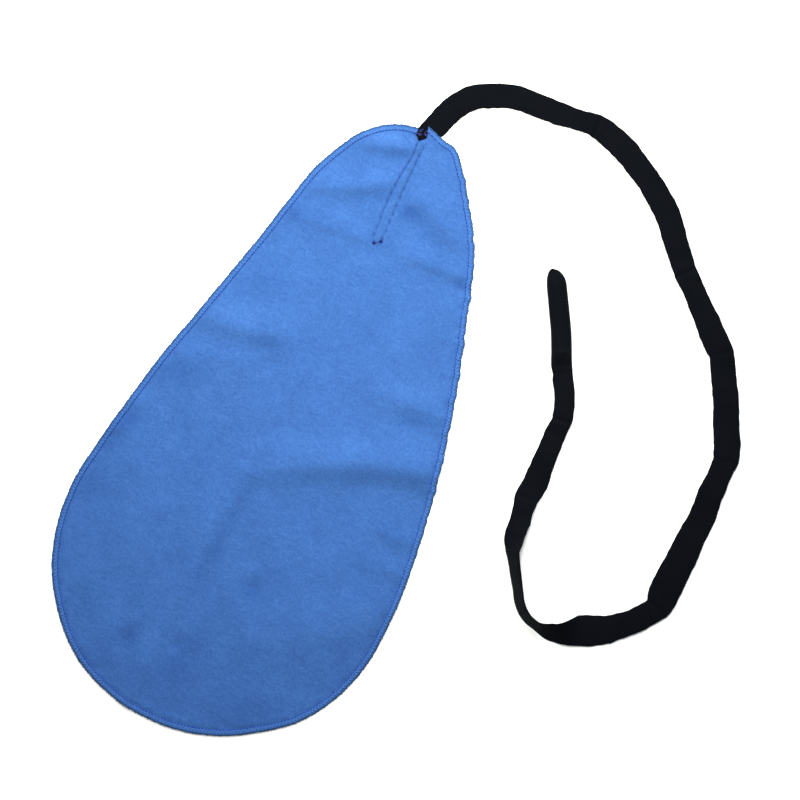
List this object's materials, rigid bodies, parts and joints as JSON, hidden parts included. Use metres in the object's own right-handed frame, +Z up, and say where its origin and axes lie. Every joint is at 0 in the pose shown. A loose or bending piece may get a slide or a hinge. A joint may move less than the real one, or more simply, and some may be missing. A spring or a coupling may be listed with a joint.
{
  "type": "pull-through cleaning swab",
  "caption": "Pear-shaped microfibre cleaning cloth with an overlocked edge and a weighted flat pull strap sewn into a pleat at its neck, laid out flat.",
  "frame": {"origin": "under the middle of the cloth, on the surface that it lies on, measured without the strap", "axes": "+Y along the cloth's length from the belly to the neck, +X across the cloth towards the side where the strap lies, +Z up"},
  "size_m": [0.3438, 0.4285, 0.0094],
  "materials": {
    "cloth_blue": "brushed microfibre suede, matt",
    "overlock_thread_blue": "textured polyester thread",
    "seam_thread_blue": "spun polyester thread, slightly darker than the cloth",
    "tape_black": "woven flat tubular tape, matt",
    "seam_thread_black": "spun polyester thread",
    "slug_steel": "plain turned rod"
  },
  "bodies": {
    "root": {"cloth_panel": "cloth_blue", "overlock_needle_thread": "overlock_thread_blue", "overlock_upper_looper_thread": "overlock_thread_blue", "overlock_lower_looper_thread": "overlock_thread_blue", "pleat_seam_left": "seam_thread_blue", "pleat_seam_right": "seam_thread_blue", "pleat_foot_tack": "seam_thread_blue", "neck_tack": "seam_thread_blue", "strap_tail": "tape_black", "pull_strap": "tape_black"},
    "weighted_end": {"weight_pocket": "tape_black", "weight_slug": "slug_steel", "weight_retaining_seam": "seam_thread_black", "tip_closing_seam": "seam_thread_black"}
  },
  "joints": [
    {"name": "weighted_end_fold", "type": "hinge", "parent": "root", "child": "weighted_end", "pos_m": [0.12809, 0.09386, 0.0006], "axis": [0.8575, 0.5145, 0], "range_deg": [0, 130]}
  ]
}
